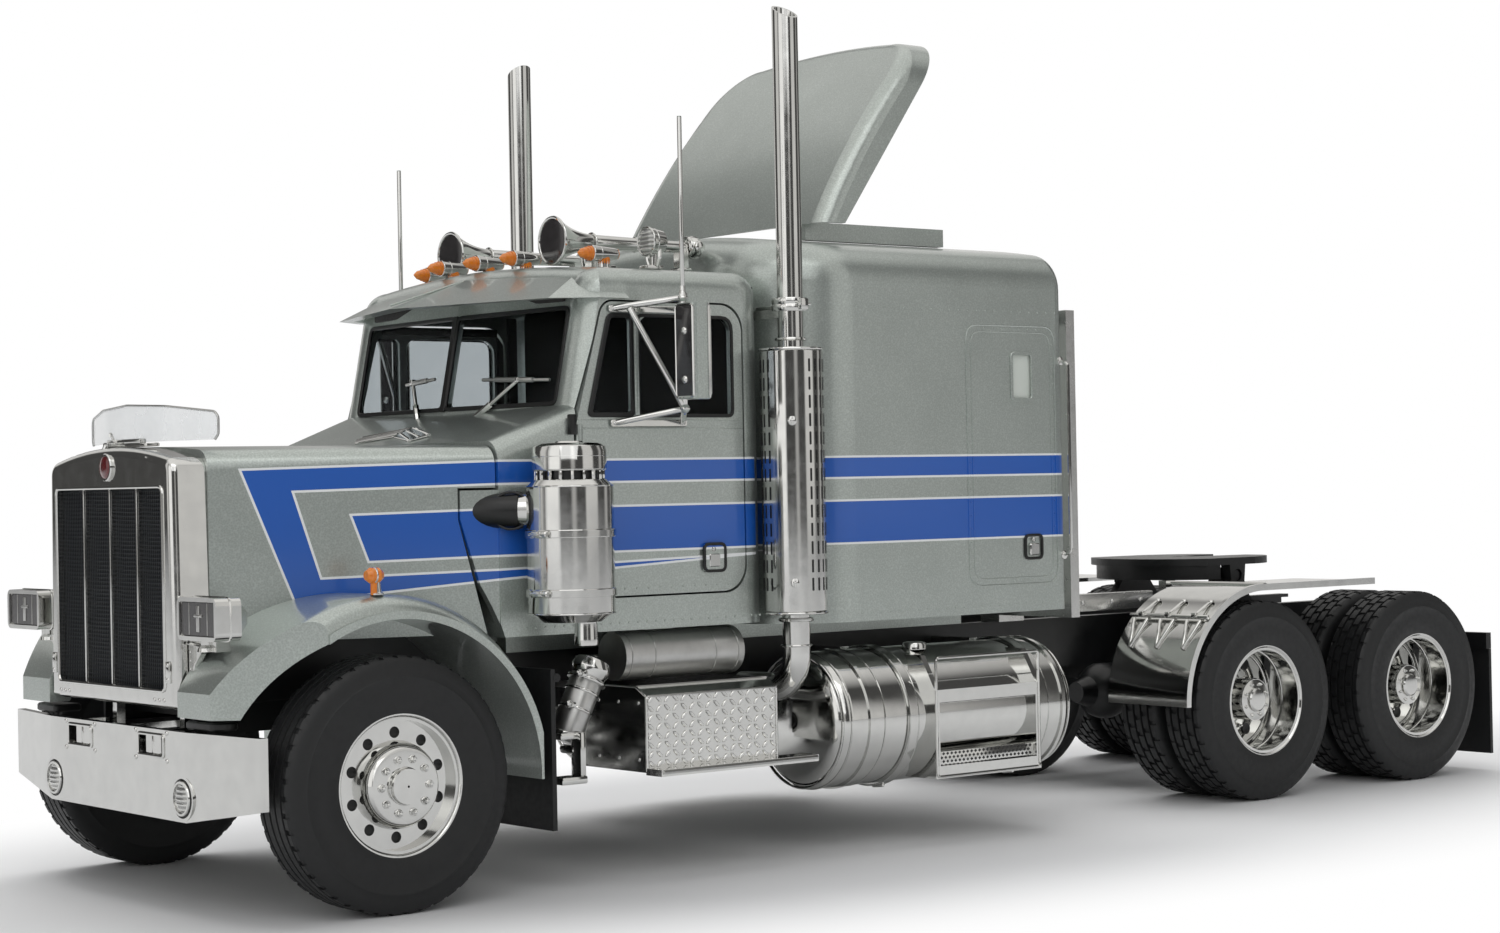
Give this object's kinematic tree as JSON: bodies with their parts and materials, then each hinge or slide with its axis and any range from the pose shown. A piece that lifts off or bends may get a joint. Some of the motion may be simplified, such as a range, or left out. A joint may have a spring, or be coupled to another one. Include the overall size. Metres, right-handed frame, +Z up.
{
  "type": "scale model semi truck tractor unit",
  "caption": "Scale model of a long-nose semi truck tractor with a sleeper, hinged doors and hood, steering front wheels, rolling tandem wheels and a tilting fifth wheel.",
  "frame": {"origin": "middle of the overall length and width, on the floor", "axes": "+X forward, +Y to the left, +Z up"},
  "size_m": [0.325, 0.1124, 0.1591],
  "materials": {
    "tyre": "satin black vinyl",
    "wheel_chrome": "bright plated plastic",
    "chrome": "bright plated plastic",
    "frame_black": "satin black",
    "engine_paint": "plain paint",
    "body_paint": "silver metallic lacquer",
    "interior": "flat",
    "glass": "clear",
    "amber": "clear amber over silver",
    "flap_rubber": "flat"
  },
  "bodies": {
    "chassis": {"front_bumper": "chrome", "air_horns": "chrome", "exhaust_stacks": "chrome", "air_cleaners": "chrome", "fuel_tanks": "chrome", "step_boxes": "chrome", "quarter_fenders": "chrome", "spotlight": "chrome", "frame_rails": "frame_black", "front_axle": "frame_black", "rear_axles": "frame_black", "rear_suspension": "frame_black", "fifth_wheel_base": "frame_black", "radiator": "frame_black", "air_tanks": "frame_black", "rear_rack": "frame_black", "engine_block": "engine_paint", "cab_shell": "body_paint", "sleeper_shell": "body_paint", "sleeper_roof": "body_paint", "sun_visor": "body_paint", "roof_fairing": "body_paint", "seats": "interior", "dashboard": "interior", "windshield": "glass", "sleeper_glass": "glass", "roof_lamps": "amber", "mud_flaps": "flap_rubber"},
    "hood": {"hood": "body_paint", "front_fenders": "body_paint", "grille_shell": "chrome", "headlamps": "chrome", "marker_lamps": "amber", "bug_shield": "glass"},
    "knuckle_left": {"knuckle_left": "frame_black"},
    "knuckle_right": {"knuckle_right": "frame_black"},
    "tie_rod": {"tie_rod": "frame_black"},
    "wheel_front_left": {"tyre_front_left": "tyre", "rim_front_left": "wheel_chrome"},
    "wheel_front_right": {"tyre_front_right": "tyre", "rim_front_right": "wheel_chrome"},
    "wheels_mid_left": {"tyres_mid_left": "tyre", "rim_mid_left": "wheel_chrome"},
    "wheels_mid_right": {"tyres_mid_right": "tyre", "rim_mid_right": "wheel_chrome"},
    "wheels_rear_left": {"tyres_rear_left": "tyre", "rim_rear_left": "wheel_chrome"},
    "wheels_rear_right": {"tyres_rear_right": "tyre", "rim_rear_right": "wheel_chrome"},
    "door_left": {"door_left": "body_paint", "door_glass_left": "glass"},
    "door_right": {"door_right": "body_paint", "door_glass_right": "glass"},
    "fifth_wheel": {"fifth_wheel_plate": "frame_black"}
  },
  "joints": [
    {"name": "steer_left", "type": "hinge", "parent": "chassis", "child": "knuckle_left", "pos_m": [0.13355, 0.037, 0.0212], "axis": [0, 0, 1], "range_deg": [-30, 30]},
    {"name": "tie_rod_pivot", "type": "hinge", "parent": "knuckle_left", "child": "tie_rod", "pos_m": [0.12455, 0.0338, 0.01628], "axis": [0, 0, 1], "range_deg": [-30, 30]},
    {"name": "spin_front_left", "type": "hinge", "parent": "knuckle_left", "child": "wheel_front_left", "pos_m": [0.13355, 0.0428, 0.0212], "axis": [0, 1, 0], "continuous": true},
    {"name": "spin_mid_left", "type": "hinge", "parent": "chassis", "child": "wheels_mid_left", "pos_m": [-0.08105, 0.0362, 0.0212], "axis": [0, 1, 0], "continuous": true},
    {"name": "spin_rear_left", "type": "hinge", "parent": "chassis", "child": "wheels_rear_left", "pos_m": [-0.13315, 0.0362, 0.0212], "axis": [0, 1, 0], "continuous": true},
    {"name": "door_left_hinge", "type": "hinge", "parent": "chassis", "child": "door_left", "pos_m": [0.0912, 0.04, 0.07], "axis": [0, 0, -1], "range_deg": [0, 65]},
    {"name": "steer_right", "type": "hinge", "parent": "chassis", "child": "knuckle_right", "pos_m": [0.13355, -0.037, 0.0212], "axis": [0, 0, 1], "range_deg": [-30, 30]},
    {"name": "spin_front_right", "type": "hinge", "parent": "knuckle_right", "child": "wheel_front_right", "pos_m": [0.13355, -0.0428, 0.0212], "axis": [0, 1, 0], "continuous": true},
    {"name": "spin_mid_right", "type": "hinge", "parent": "chassis", "child": "wheels_mid_right", "pos_m": [-0.08105, -0.0362, 0.0212], "axis": [0, 1, 0], "continuous": true},
    {"name": "spin_rear_right", "type": "hinge", "parent": "chassis", "child": "wheels_rear_right", "pos_m": [-0.13315, -0.0362, 0.0212], "axis": [0, 1, 0], "continuous": true},
    {"name": "door_right_hinge", "type": "hinge", "parent": "chassis", "child": "door_right", "pos_m": [0.0912, -0.04, 0.07], "axis": [0, 0, 1], "range_deg": [0, 65]},
    {"name": "hood_tilt", "type": "hinge", "parent": "chassis", "child": "hood", "pos_m": [0.15795, 0, 0.027], "axis": [0, 1, 0], "range_deg": [0, 75]},
    {"name": "fifth_wheel_tilt", "type": "hinge", "parent": "chassis", "child": "fifth_wheel", "pos_m": [-0.10645, 0, 0.0466], "axis": [0, 1, 0], "range_deg": [-8, 8]}
  ],
  "couplings": [
    {"joint": "steer_right", "follows": "steer_left", "ratio": 1},
    {"joint": "tie_rod_pivot", "follows": "steer_left", "ratio": -1}
  ]
}
